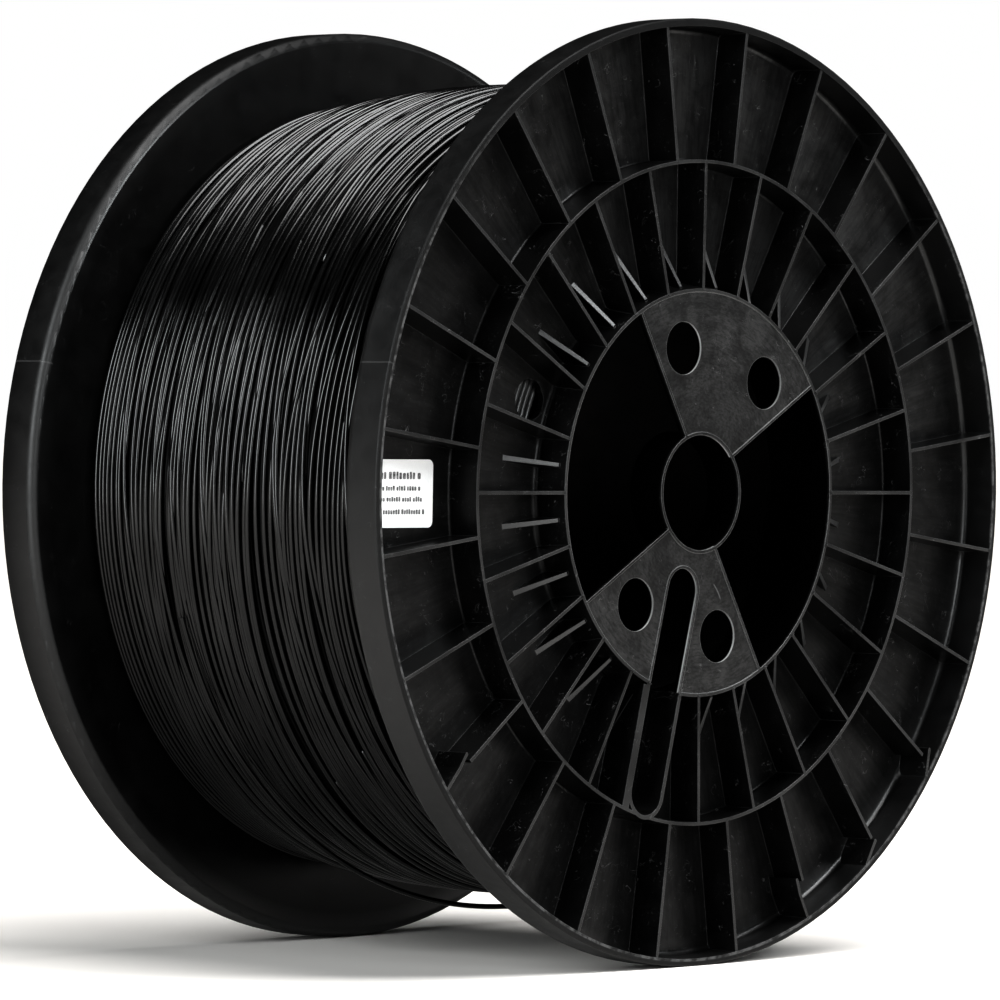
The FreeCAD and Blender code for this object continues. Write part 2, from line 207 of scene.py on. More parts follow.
def strand_mesh(path, radius, sides):
    """Vertices and faces of one closed round strand along a path of points, with capped ends."""
    path = np.asarray(path)
    along = np.gradient(path, axis=0)
    along /= np.linalg.norm(along, axis=1)[:, None]
    outward = path * (1.0, 0.0, 1.0)
    outward -= (outward * along).sum(1)[:, None] * along
    outward /= np.linalg.norm(outward, axis=1)[:, None]
    across = np.cross(along, outward)
    turn = np.linspace(0.0, TAU, sides, endpoint=False)
    outward_part = outward[:, None, :] * np.cos(turn)[None, :, None]
    across_part = across[:, None, :] * np.sin(turn)[None, :, None]
    ring = outward_part + across_part
    vertices = (path[:, None, :] + radius * ring).reshape(-1, 3)
    count = len(path)
    first = np.arange(count - 1)[:, None] * sides + np.arange(sides)[None, :]
    second = np.arange(count - 1)[:, None] * sides + (np.arange(sides)[None, :] + 1) % sides
    quads = np.stack([first, first + sides, second + sides, second], axis=-1).reshape(-1, 4)
    caps = [list(range(sides)), list(range(count * sides - 1, (count - 1) * sides - 1, -1))]
    return vertices, quads, caps


def join_strands(name, paths, sides):
    """One filament object of several strands."""
    all_vertices = []
    all_faces = []
    offset = 0
    for path in paths:
        vertices, quads, caps = strand_mesh(path, FILAMENT_RADIUS, sides)
        all_vertices.append(vertices)
        all_faces.extend((quads + offset).tolist())
        all_faces.extend([[index + offset for index in cap] for cap in caps])
        offset += len(vertices)
    return mesh_object(name, np.concatenate(all_vertices) * MM, all_faces)


def smooth_noise(length, knot_spacing, rng):
    """Smooth random values from about -1 to 1 at length samples, which end as they began."""
    count = max(4, round(length / knot_spacing))
    knots = rng.uniform(-1.0, 1.0, count)
    where = np.arange(length) * count / length
    whole = where.astype(int)
    part = where - whole
    p0, p1, p2, p3 = (knots[(whole + shift) % count] for shift in (-1, 0, 1, 2))
    square = (2 * p0 - 5 * p1 + 4 * p2 - p3) * part ** 2
    cube = (3 * p1 - p0 - 3 * p2 + p3) * part ** 3
    return 0.5 * (2 * p1 + (p2 - p0) * part + square + cube)


# ---------------------------------------------------------------- the winding
TURNS = 52
OUTER_LAYER_DEPTH = 0.95
LAYER_RISE = 1.6
CROSSING_COUNT = 110
CROSSING_SWEEP = (70.0, 210.0)
CROSSING_START_Y = 62.0
CROSSING_DRIFT = 0.14
CROSSING_END_GAP = 1.2
END_SPIRAL_PITCH = 2.16


def surface_radius(y):
    """Radius of the outermost strand's middle line at a place along the axis."""
    return WINDING_TOP_R - FILAMENT_RADIUS - WINDING_CROWN * (np.asarray(y) / WINDING_HALF_LENGTH) ** 2


def layer_path(turns, steps, unevenness, lift_variation, depth, reverse, rng):
    """One layer wound from end to end: turns side by side, some touching and some with a gap.

    Each turn lies one spacing further on than the turn before it. The spacing is never less than the
    filament's diameter, and at each angle the spacings of all the turns add up to the layer's width.
    """
    count = turns * steps
    reach = WINDING_HALF_LENGTH - FILAMENT_RADIUS
    wander = 0.75 * smooth_noise(count, steps * 0.43, rng) + 0.35 * smooth_noise(count, steps * 0.13, rng)
    gaps = np.exp(unevenness * wander).reshape(turns, steps)
    gaps *= (2.0 * reach - turns * FILAMENT_DIAMETER) / gaps.sum(axis=0)
    spacing = FILAMENT_DIAMETER + gaps
    y = np.empty((turns + 1, steps))
    y[0] = spacing[0, 0] * np.linspace(0.0, 1.0, steps, endpoint=False)
    y[1:] = y[0] + np.cumsum(spacing, axis=0)
    y = np.clip(y[:turns].ravel() - reach, -reach, reach)
    if reverse:
        y = -y
    angle = np.arange(count) / steps * TAU
    proud = np.maximum(smooth_noise(count, steps * 0.31, rng) - 0.3, 0.0)
    lift = lift_variation * (0.35 * smooth_noise(count, steps * 0.23, rng) + 1.1 * proud)
    radius = surface_radius(y) - depth + lift
    return np.stack([radius * np.cos(angle), y, radius * np.sin(angle)], axis=1)


def crossing_path(start_angle, sweep, start_y, drift, rng):
    """A strand that climbs out of the layer, crosses a few turns and dips back in."""
    steps = max(40, int(abs(sweep) * 0.75))
    part = np.linspace(0.0, 1.0, steps)
    angle = np.radians(start_angle + sweep * part)
    eased = part * part * (3.0 - 2.0 * part)
    y = start_y + drift * eased + 0.5 * smooth_noise(steps, steps / 4.0, rng)
    rise = np.clip(np.minimum(part, 1.0 - part) / 0.16, 0.0, 1.0)
    climb = (FILAMENT_DIAMETER - 0.2) * rise * rise * (3.0 - 2.0 * rise)
    radius = surface_radius(y) - FILAMENT_DIAMETER + climb
    return np.stack([radius * np.cos(angle), y, radius * np.sin(angle)], axis=1)


def end_spiral(side, steps, rng):
    """The end turns of all the layers, which lie against a flange, as one flat spiral."""
    first = CORE_R + 1.1
    last = surface_radius(WINDING_HALF_LENGTH) - 1.6
    turns = int((last - first) / END_SPIRAL_PITCH)
    count = turns * steps + 1
    angle = np.arange(count) / steps * TAU * side
    radius = first + END_SPIRAL_PITCH * np.arange(count) / steps
    radius += 0.16 * smooth_noise(count, steps * 0.4, rng)
    y = side * (WINDING_HALF_LENGTH - FILAMENT_RADIUS - 0.1 + 0.1 * smooth_noise(count, steps * 0.3, rng))
    return np.stack([radius * np.cos(angle), y, radius * np.sin(angle)], axis=1)


def winding_core():
    """The closed body of filament below the strands that show, as one ring."""
    around_count = 160
    across_count = 12
    inner = CORE_R + 0.05
    half = WINDING_HALF_LENGTH - FILAMENT_DIAMETER - 0.2
    stations = np.linspace(-half, half, across_count)
    profile = [(surface_radius(y) - 3.2, y) for y in stations] + [(inner, half), (inner, -half)]
    turn = np.linspace(0.0, TAU, around_count, endpoint=False)
    vertices = [(r * math.cos(t) * MM, y * MM, r * math.sin(t) * MM) for t in turn for r, y in profile]
    size = len(profile)
    faces = []
    for i in range(around_count):
        for j in range(size):
            a = i * size + j
            b = i * size + (j + 1) % size
            c = ((i + 1) % around_count) * size + (j + 1) % size
            d = ((i + 1) % around_count) * size + j
            faces.append((a, d, c, b))
    return mesh_object("winding_core", vertices, faces, smooth=False)


def crossing_strands():
    """Paths of the loose strands that cross the outer layer, without those that would reach a flange."""
    crossings = []
    for _ in range(CROSSING_COUNT):
        sweep = RANDOM.uniform(*CROSSING_SWEEP)
        start_angle = RANDOM.uniform(0.0, 360.0)
        start_y = RANDOM.uniform(-CROSSING_START_Y, CROSSING_START_Y)
        drift = RANDOM.uniform(-CROSSING_DRIFT, CROSSING_DRIFT) * sweep
        crossings.append(crossing_path(start_angle, sweep, start_y, drift, RANDOM))
    furthest = WINDING_HALF_LENGTH - CROSSING_END_GAP
    return [path for path in crossings if np.abs(path[:, 1]).max() < furthest]


def add_winding():
    """Every piece of the winding, by name."""
    outer = layer_path(
        TURNS,
        steps=216,
        unevenness=2.6,
        lift_variation=0.9,
        depth=OUTER_LAYER_DEPTH,
        reverse=False,
        rng=RANDOM,
    )
    under = layer_path(
        TURNS,
        steps=120,
        unevenness=1.2,
        lift_variation=0.1,
        depth=OUTER_LAYER_DEPTH + LAYER_RISE,
        reverse=True,
        rng=RANDOM,
    )
    crossings = crossing_strands()
    pieces = {
        "outer": join_strands("winding_outer_layer", [outer], sides=10),
        "under": join_strands("winding_under_layer", [under], sides=6),
        "crossing": join_strands("winding_crossing_strands", crossings, sides=10),
        "front_end": join_strands("winding_front_end", [end_spiral(-1, 120, RANDOM)], sides=8),
        "rear_end": join_strands("winding_rear_end", [end_spiral(1, 120, RANDOM)], sides=8),
        "core": winding_core(),
    }
    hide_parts("filament_winding")
    return pieces


# ---------------------------------------------------------------- the label
LABEL_CORNER_R = 2.0
LABEL_LOW, LABEL_HIGH = (Vector(corner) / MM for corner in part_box("product_label"))
LABEL_THICKNESS = LABEL_HIGH.y - LABEL_LOW.y
LABEL_RINGS = 9
LABEL_LEFT_MARGIN = 3.0
# each printed row: place down the label as a share of its height, height of its blocks, right-hand margin
LABEL_ROWS = (
    (0.235, 2.3, 5.2),
    (0.42, 1.6, 6.2),
    (0.58, 1.6, 4.2),
    (0.765, 1.6, 4.0),
)


def label_wave(x, z):
    """How far the paper stands off the floor at a place, in millimetres: faint waves and a lifted corner."""
    across = (x - LABEL_LOW.x) / (LABEL_HIGH.x - LABEL_LOW.x)
    up = (z - LABEL_LOW.z) / (LABEL_HIGH.z - LABEL_LOW.z)
    wave = 0.05 * (1.0 + math.sin(5.0 * across + 3.0 * up)) * across
    corner = 0.5 * max(0.0, across + up - 1.7) ** 2
    return wave + corner


def rounded_outline(scale):
    """Points of the label's outline, drawn in towards its middle by a scale."""
    middle = (LABEL_LOW + LABEL_HIGH) / 2
    half_x = (LABEL_HIGH.x - LABEL_LOW.x) / 2
    half_z = (LABEL_HIGH.z - LABEL_LOW.z) / 2
    points = []
    for sign_x, sign_z, start in ((1, 1, 0.0), (-1, 1, 90.0), (-1, -1, 180.0), (1, -1, 270.0)):
        for step in range(9):
            turn = math.radians(start + 90.0 * step / 8)
            x = sign_x * (half_x - LABEL_CORNER_R) + LABEL_CORNER_R * math.cos(turn)
            z = sign_z * (half_z - LABEL_CORNER_R) + LABEL_CORNER_R * math.sin(turn)
            points.append((middle.x + scale * x, middle.z + scale * z))
    return points


def label_vertices():
    """The sheet's vertices in metres: rings drawn in towards the middle, on its back and then its front."""
    vertices = []
    for stand in (0.0, LABEL_THICKNESS):
        for ring in range(LABEL_RINGS):
            for x, z in rounded_outline(1.0 - ring / LABEL_RINGS):
                y = LABEL_HIGH.y - label_wave(x, z) - stand
                vertices.append((x * MM, y * MM, z * MM))
    return vertices


def label_faces(size):
    """The sheet's faces, from rings of size vertices each."""
    faces = []
    back_size = LABEL_RINGS * size
    for base, flip in ((0, True), (back_size, False)):
        for ring in range(LABEL_RINGS - 1):
            for i in range(size):
                a = base + ring * size + i
                b = base + ring * size + (i + 1) % size
                face = (a, b, b + size, a + size)
                faces.append(face[::-1] if flip else face)
        centre = [base + (LABEL_RINGS - 1) * size + i for i in range(size)]
        faces.append(centre[::-1] if flip else centre)
    for i in range(size):
        j = (i + 1) % size
        faces.append((i, j, back_size + j, back_size + i))
    return faces


def add_label_sheet():
    """The paper label as a thin sheet with rounded corners."""
    size = len(rounded_outline(1.0))
    paper = mesh_object("label_sheet", label_vertices(), label_faces(size), smooth=False)
    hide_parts("product_label")
    return paper


def add_label_print():
    """Rows of plain blocks, grouped like words, in place of the label's print."""
    vertices = []
    faces = []
    for down, height, margin in LABEL_ROWS:
        x = LABEL_LOW.x + LABEL_LEFT_MARGIN
        z = LABEL_HIGH.z - down * (LABEL_HIGH.z - LABEL_LOW.z)
        left_in_word = int(RANDOM.integers(3, 9))
        while x < LABEL_HIGH.x - margin:
            width = height * RANDOM.uniform(0.4, 0.6)
            low = z - height / 2
            high = z + height * RANDOM.uniform(0.22, 0.5)
            add_block(vertices, faces, (x, x + width), (low, high))
            left_in_word -= 1
            gap = 0.16 if left_in_word else 0.5
            x += width + gap * height
            left_in_word = left_in_word or int(RANDOM.integers(3, 9))
    return mesh_object("label_print", vertices, faces, smooth=False)


def add_block(vertices, faces, x_range, z_range):
    """One small printed block with cut corners, a hair proud of the paper, added to a mesh's lists."""
    x0, x1 = x_range
    z0, z1 = z_range
    cut = 0.2 * (x1 - x0)
    outline = (
        (x0 + cut, z0), (x1 - cut, z0), (x1, z0 + cut), (x1, z1 - cut),
        (x1 - cut, z1), (x0 + cut, z1), (x0, z1 - cut), (x0, z0 + cut),
    )
    first = len(vertices)
    size = len(outline)
    for stand in (0.6 * LABEL_THICKNESS, LABEL_THICKNESS + 0.03):
        for x, z in outline:
            y = LABEL_HIGH.y - label_wave(x, z) - stand
            vertices.append((x * MM, y * MM, z * MM))
    faces.append([first + i for i in range(size)][::-1])
    faces.append([first + size + i for i in range(size)])
    for i in range(size):
        j = (i + 1) % size
        faces.append((first + i, first + j, first + size + j, first + size + i))


# ---------------------------------------------------------------- materials
# greys over the flanges' black: the floors' hazy grey is partly painted light; the greys of the rib tops,
# gussets, hub edges, the rim's front edge and the holes' walls are painted highlights; the hollow grey is
# painted shade
HAZE_AND_TOP_LIGHT_GREY = 0.011
WEB_GREY = 0.016
SCRATCH_GREY = 0.09
RIB_TOP_HIGHLIGHT_GREY = 0.022
GUSSET_HIGHLIGHT_GREY = 0.06
DUST_GREY = 0.16
GRIT_GREY = 0.05
FINE_DUST_GREY = 0.045
LINT_GREY = 0.1
LIGHTER_EDGE_GREY = 0.05
HUB_EDGE_HIGHLIGHT_GREY = 0.16
FRONT_EDGE_CHIP_AND_HIGHLIGHT_GREY = 0.06
HOLE_WALL_HIGHLIGHT_GREY = 0.26
HOLLOW_SHADE_GREY = 0.0005
PARTING_LINE_GREY = 0.05
EDGE_ROUND_RADIUS = 0.35
LEAST_GLOSS = 0.28
REAR_RIM_LEAST_GLOSS = 0.16


def grey(level, warm=0.0):
    """A grey of one level, with a share more red and less blue where it is warm."""
    return (level * (1.0 + warm), level, level * (1.0 - warm), 1.0)


class Shader:
    """A node tree with short calls for the nodes that these materials share."""

    def __init__(self, name):
        self.material = bpy.data.materials.new(name)
        self.material.use_nodes = True
        self.tree = self.material.node_tree
        self.surface = self.tree.nodes["Principled BSDF"]
        self._millimetres = None

    def node(self, kind, inputs=(), **settings):
        """A new node with its inputs and its settings."""
        made = self.tree.nodes.new(kind)
        for key, value in settings.items():
            setattr(made, key, value)
        for key, value in dict(inputs).items():
            self.feed(value, made.inputs[key])
        return made

    def feed(self, value, socket):
        """A socket linked to another node's output, or set to a plain value."""
        if isinstance(value, bpy.types.NodeSocket):
            self.tree.links.new(value, socket)
        else:
            socket.default_value = value

    def set(self, **inputs):
        """Inputs of the surface's own shader."""
        for key, value in inputs.items():
            self.feed(value, self.surface.inputs[key.replace("_", " ")])

    @property
    def place(self):
        """Object coordinates in millimetres."""
        if self._millimetres is None:
            coordinates = self.node("ShaderNodeTexCoord").outputs["Object"]
            inputs = {0: coordinates, "Scale": 1.0 / MM}
            self._millimetres = self.node("ShaderNodeVectorMath", inputs, operation="SCALE").outputs[0]
        return self._millimetres

    def axis(self, name):
        """One of the object coordinates in millimetres."""
        return self.node("ShaderNodeSeparateXYZ", {0: self.place}).outputs[name]

    def math(self, operation, *values, clamp=False):
        """A Math node's result."""
        inputs = dict(enumerate(values))
        return self.node("ShaderNodeMath", inputs, operation=operation, use_clamp=clamp).outputs[0]

    def total(self, first, *others):
        """Values added together."""
        for value in others:
            first = self.math("ADD", first, value)
        return first

    def product(self, first, *others):
        """Values multiplied together."""
        for value in others:
            first = self.math("MULTIPLY", first, value)
        return first

    def less(self, first, second):
        """1 where the first value is less than the second, else 0."""
        return self.math("LESS_THAN", first, second)

    def more(self, first, second):
        """1 where the first value is more than the second, else 0."""
        return self.math("GREATER_THAN", first, second)

    def distance(self, value, centre):
        """How far a value lies from a centre, to either side."""
        return self.math("ABSOLUTE", self.math("SUBTRACT", value, centre))

    def ramp(self, value, low, high, to_low=0.0, to_high=1.0):
        """A value spread from one range to another, held at its ends."""
        inputs = {"Value": value, "From Min": low, "From Max": high, "To Min": to_low, "To Max": to_high}
        return self.node("ShaderNodeMapRange", inputs).outputs["Result"]

    def noise(self, size, detail=3.0, roughness=0.55, stretch=(1.0, 1.0, 1.0), distortion=0.0, where=None):
        """Noise from 0 to 1 whose lumps are about size millimetres, at a place or in other coordinates."""
        where = where or self.place
        if stretch != (1.0, 1.0, 1.0):
            where = self.node("ShaderNodeVectorMath", {0: where, 1: stretch}, operation="MULTIPLY").outputs[0]
        inputs = {
            "Vector": where,
            "Scale": 1.0 / size,
            "Detail": detail,
            "Roughness": roughness,
            "Distortion": distortion,
        }
        return self.node("ShaderNodeTexNoise", inputs).outputs["Fac"]

    def specks(self, scale, smallest, largest, share):
        """Round specks in a share of a Voronoi pattern's cells, with sizes in widths of a cell."""
        cells = self.node("ShaderNodeTexVoronoi", {"Vector": self.place, "Scale": scale}, feature="F1")
        pick = self.node("ShaderNodeSeparateColor", {0: cells.outputs["Color"]})
        size = self.ramp(pick.outputs[1], 0.0, 1.0, smallest, largest)
        inside = self.less(cells.outputs["Distance"], size)
        chosen = self.more(pick.outputs[0], 1.0 - share)
        return self.product(inside, chosen)

    def blend(self, factor, first, second):
        """A mix of two colours."""
        mixed = self.node("ShaderNodeMix", data_type="RGBA")
        self.feed(factor, mixed.inputs["Factor"])
        self.feed(first, mixed.inputs[6])
        self.feed(second, mixed.inputs[7])
        return mixed.outputs[2]

    def bump(self, height, depth, strength=1.0, normal=None):
        """A bump whose full height is depth millimetres."""
        inputs = {"Height": height, "Distance": depth * MM, "Strength": strength}
        if normal is not None:
            inputs["Normal"] = normal
        return self.node("ShaderNodeBump", inputs).outputs["Normal"]


class Moulding(Shader):
    """The flanges' plastic. Each paint call lays greys over self.colour on one kind of place."""

    def __init__(self, name, dark, light):
        super().__init__(name)
        self.x = self.axis("X")
        self.y = self.axis("Y")
        self.z = self.axis("Z")
        self.y_size = self.math("ABSOLUTE", self.y)
        squares = self.total(self.math("POWER", self.x, 2.0), self.math("POWER", self.z, 2.0))
        self.radius = self.math("SQRT", squares)
        self.unit_x = self.math("DIVIDE", self.x, self.radius)
        self.unit_z = self.math("DIVIDE", self.z, self.radius)
        self.cloud = self.noise(9.0, detail=4.0)
        self.smear = self.noise(11.0, detail=6.0, distortion=0.6, roughness=0.68)
        self.broad = self.noise(26.0, detail=2.0)
        self.in_hub = self.ramp(self.radius, HUB_RING_INNER_R + 0.5, HUB_RING_INNER_R + 0.1)
        self.colour = self.blend(self.ramp(self.cloud, 0.3, 0.7), grey(dark), grey(light))

    def patches(self, least, most):
        """Broad soft patches between two values."""
        return self.ramp(self.broad, 0.35, 0.65, least, most)

    def paint(self, mask, level):
        """A grey laid over the colour as strongly as the mask says."""
        self.colour = self.blend(mask, self.colour, grey(level))

    def marks_round_axis(self, size, round_axis, along_radius, detail, roughness):
        """Noise without a seam, in coordinates that follow the flange round."""
        corner = {
            0: self.product(self.unit_x, round_axis),
            1: self.product(self.radius, along_radius),
            2: self.product(self.unit_z, round_axis),
        }
        where = self.node("ShaderNodeCombineXYZ", corner).outputs[0]
        return self.noise(size, detail=detail, roughness=roughness, where=where)

    def paint_floors(self):
        """Hazy streaks along the radius on the cells' floors, partly painted light: lighter than the walls,
        and stronger towards the top and a little towards the right.
        """
        streaks = self.marks_round_axis(1.4, round_axis=110.0, along_radius=0.1, detail=4.0, roughness=0.65)
        # painted light from above: the floors' grey grows towards the top, and a little towards the right
        painted_top_light = self.total(self.unit_z, self.product(self.unit_x, 0.3))
        haze_and_top_light = self.product(
            self.ramp(streaks, 0.35, 0.65, 0.45, 1.0),
            self.ramp(self.smear, 0.36, 0.64, 0.35, 1.0),
            self.ramp(painted_top_light, 0.35, 1.0, 0.5, 1.8),
            self.less(self.distance(self.y_size, FLOOR_FACE_Y), 0.35),
            self.less(self.radius, RIM_INNER_R - 0.3),
            self.more(self.radius, HUB_RING_OUTER_R + 0.1),
        )
        self.paint(haze_and_top_light, HAZE_AND_TOP_LIGHT_GREY)
        return haze_and_top_light

    def paint_web(self):
        """Scuffs with fine marks round the axis on the faces of the hub web, and one scratch."""
        brushed = self.marks_round_axis(0.9, round_axis=17.0, along_radius=1.0, detail=5.0, roughness=0.75)
        on_web = self.product(self.ramp(self.y_size, WEB_FACE_Y - 0.25, WEB_FACE_Y - 0.1), self.in_hub)
        scuffed = self.product(
            self.ramp(self.smear, 0.4, 0.6, 0.4, 1.0),
            self.ramp(brushed, 0.38, 0.62, 0.45, 1.3),
            self.ramp(self.radius, 20.0, 60.0, 0.7, 1.1),
            on_web,
        )
        self.paint(scuffed, WEB_GREY)
        on_front_web = self.product(on_web, self.less(self.y, 0.0))
        self.paint(self.product(self.scratch(), on_front_web, 0.8), SCRATCH_GREY)
        return scuffed

    def scratch(self):
        """A short bent line between the slot and the lower right drive hole."""
        x = self.math("SUBTRACT", self.x, SCRATCH_MIDDLE[0])
        z = self.math("SUBTRACT", self.z, SCRATCH_MIDDLE[1])
        along = self.total(self.product(x, SCRATCH_DIRECTION[0]), self.product(z, SCRATCH_DIRECTION[1]))
        aside = self.total(self.product(x, -SCRATCH_DIRECTION[1]), self.product(z, SCRATCH_DIRECTION[0]))
        bent = self.total(aside, self.product(self.math("POWER", along, 2.0), 0.03))
        in_width = self.ramp(self.math("ABSOLUTE", bent), 0.3, 0.15)
        in_length = self.ramp(self.math("ABSOLUTE", along), 3.2, 2.6)
        return self.product(in_width, in_length)

    def paint_tops(self):
        """Tops of the ribs and rings, painted lighter in patches as a highlight."""
        top_y = self.ramp(self.radius, HUB_RING_OUTER_R, MID_RING_R, HUB_RING_FACE_Y, RIB_FACE_Y)
        tops = self.product(
            self.more(self.y_size, self.math("SUBTRACT", top_y, 0.15)),
            self.less(self.radius, RIM_INNER_R - 0.2),
            self.ramp(self.radius, HUB_RING_INNER_R - 0.2, HUB_RING_INNER_R - 0.1),
            self.patches(0.35, 0.8),
        )
        self.paint(tops, RIB_TOP_HIGHLIGHT_GREY)
        return tops

    def paint_gussets(self):
        """Sloping tops of the gussets, polished by the mould, which makes them glossier; their lighter grey
        is a painted highlight, in patches.
        """
        turn = self.product(self.math("ARCTAN2", self.z, self.x), RIB_COUNT / TAU)
        share = self.distance(self.math("FRACT", turn), 0.5)
        aside = self.product(share, self.radius, TAU / RIB_COUNT)
        slope_y = self.ramp(self.radius, GUSSET_TOP_R, GUSSET_FOOT_R, GUSSET_TOP_Y, FLOOR_FACE_Y)
        gussets = self.product(
            self.less(aside, 1.0),
            self.less(self.distance(self.y_size, slope_y), 0.2),
            self.less(self.radius, GUSSET_FOOT_R - 0.2),
            self.more(self.radius, GUSSET_TOP_R - 0.1),
        )
        self.paint(self.product(gussets, self.patches(0.45, 0.9)), GUSSET_HIGHLIGHT_GREY)
        return gussets

    def paint_dust(self):
        """Specks, grit and lint, which are fainter on the rim and behind the floor."""
        where = self.product(
            self.ramp(self.radius, RIM_INNER_R - 0.2, RIM_INNER_R - 1.0, 0.25, 1.0),
            self.ramp(self.y_size, FLOOR_FACE_Y - 1.0, FLOOR_FACE_Y - 0.5, 0.15, 1.0),
        )
        dust = self.specks(0.22, smallest=0.015, largest=0.05, share=0.4)
        self.paint(self.product(dust, 0.6, where), DUST_GREY)
        grit = self.ramp(self.noise(0.7, detail=1.0), 0.66, 0.76)
        gritty = self.ramp(self.cloud, 0.42, 0.62)
        self.paint(self.product(grit, gritty, 0.5, where), GRIT_GREY)
        fine_dust = self.specks(0.55, smallest=0.03, largest=0.1, share=0.45)
        self.paint(self.product(fine_dust, 0.8, where), FINE_DUST_GREY)
        thread = self.noise(7.0, detail=2.0, distortion=1.6)
        lint = self.product(
            self.less(self.distance(thread, 0.5), 0.0035),
            self.more(self.noise(6.0, detail=1.0), 0.62),
        )
        self.paint(self.product(lint, 0.8, where), LINT_GREY)

    def paint_edges_and_edge_highlights(self):
        """Edges painted lighter where the rounded normal leaves the face's own; brighter edges in the hub as
        a painted highlight; and the chipped front edge of the rim, painted lighter as a highlight and faded
        out towards the top.
        """
        rounded = self.node("ShaderNodeBevel", {"Radius": EDGE_ROUND_RADIUS * MM}, samples=4).outputs["Normal"]
        flat = self.node("ShaderNodeTexCoord").outputs["Normal"]
        dot = self.node("ShaderNodeVectorMath", {0: rounded, 1: flat}, operation="DOT_PRODUCT")
        agreement = dot.outputs["Value"]
        edge = self.product(self.ramp(agreement, 0.99, 0.85), self.patches(0.2, 1.0), 0.7)
        self.paint(edge, LIGHTER_EDGE_GREY)
        # painted highlight on the edges in the hub, so the holes' edges catch bright crescents
        hub_edge_highlight = self.product(self.ramp(agreement, 0.97, 0.8), self.in_hub, 0.9)
        self.paint(hub_edge_highlight, HUB_EDGE_HIGHLIGHT_GREY)
        # chipped front edge of the rim, painted lighter as a highlight, left off towards the top
        chipped_lit_front_edge = self.product(
            self.ramp(self.y_size, SPOOL_HALF_WIDTH - 0.7, SPOOL_HALF_WIDTH - 0.3),
            self.ramp(self.distance(self.radius, RIM_INNER_R + 0.4), 0.6, 0.35),
            self.ramp(self.noise(3.2, detail=5.0, roughness=0.7), 0.42, 0.58, 0.1, 1.0),
            self.ramp(self.unit_z, 0.8, 0.5),
        )
        self.paint(chipped_lit_front_edge, FRONT_EDGE_CHIP_AND_HIGHLIGHT_GREY)
        return rounded

    def paint_hub_shade_and_hole_highlights(self):
        """Painted shade on the hub behind the web, which light hardly leaves, and a painted highlight on the
        walls of the web's holes.
        """
        below = self.math("SUBTRACT", self.math("SUBTRACT", WEB_FACE_Y, self.y_size), 0.5)
        front_x = self.product(self.unit_x, self.product(self.math("SIGN", self.y), -1.0))
        aside = self.math(
            "SUBTRACT",
            self.product(front_x, math.sin(WEB_MIDDLE_ANGLE)),
            self.product(self.unit_z, math.cos(WEB_MIDDLE_ANGLE)),
        )
        lit_hole_walls = self.product(
            self.less(self.math("ABSOLUTE", aside), WEB_EDGE_SINE),
            self.in_hub,
            self.ramp(below, -0.5, -0.4),
            self.ramp(below, 0.3, 0.2),
        )
        self.paint(self.product(lit_hole_walls, self.patches(0.5, 1.0)), HOLE_WALL_HIGHLIGHT_GREY)
        hollow_shade = self.product(
            self.ramp(self.radius, HUB_RING_INNER_R + 0.15, HUB_RING_INNER_R + 0.05),
            self.ramp(below, 0.0, 0.5),
        )
        self.paint(hollow_shade, HOLLOW_SHADE_GREY)
        return hollow_shade

    def paint_parting_lines(self):
        """A fine line across the rim's outside on each side, above the middle."""
        angle = self.math("ARCTAN2", self.z, self.math("ABSOLUTE", self.x))
        least_radius = self.ramp(
            self.y_size, FLOOR_FACE_Y - 0.5, FLOOR_FACE_Y, SPOOL_RADIUS - 3.5, RIM_INNER_R + 0.3
        )
        line = self.product(
            self.ramp(self.distance(angle, PARTING_ANGLE), 0.0022, 0.0012),
            self.more(self.radius, least_radius),
        )
        self.paint(self.product(line, 0.4), PARTING_LINE_GREY)
        return line

    def relief(self, line):
        """Height of the grain, the moulding's waves and the parting lines."""
        wavy = self.ramp(self.radius, RIM_INNER_R, RIM_INNER_R - 3.0, 0.1, 0.8)
        grain = self.noise(0.45, detail=2.0)
        return self.total(self.product(grain, 0.45), self.product(self.cloud, wavy), self.product(line, 0.8))

    def roughness(self, scuffed):
        """Satin, rougher where scuffed and on the rim."""
        rim = self.ramp(self.smear, 0.35, 0.65, 0.13, 0.22)
        return self.total(
            self.ramp(self.cloud, 0.3, 0.7, 0.28, 0.34),
            self.product(scuffed, 0.06),
            self.ramp(self.radius, RIM_INNER_R - 0.1, RIM_INNER_R + 0.1, 0.0, rim),
        )

    def gloss(self, haze_and_top_light, scuffed, tops, gussets):
        """Gloss: full on rims and rib tops, patchy on floors and web, low on the walls and inner faces."""
        rear_rim = (self.y, SPOOL_HALF_WIDTH - 14.0, SPOOL_HALF_WIDTH - 2.0)
        rim = self.product(
            self.ramp(self.radius, RIM_INNER_R - 6.0, RIM_INNER_R, 0.0, 0.65),
            self.ramp(self.unit_z, 0.6, 0.95, 1.0, 0.1),
            self.ramp(self.y_size, SPOOL_HALF_WIDTH - 0.7, SPOOL_HALF_WIDTH - 0.3, 1.0, 0.3),
            self.ramp(*rear_rim, 1.0, 0.25),
        )
        faces = self.total(
            self.product(haze_and_top_light, 0.6),
            self.product(scuffed, 0.45),
            self.product(self.math("MAXIMUM", tops, gussets), 0.6),
            rim,
        )
        return self.math("ADD", faces, self.ramp(*rear_rim, LEAST_GLOSS, REAR_RIM_LEAST_GLOSS), clamp=True)


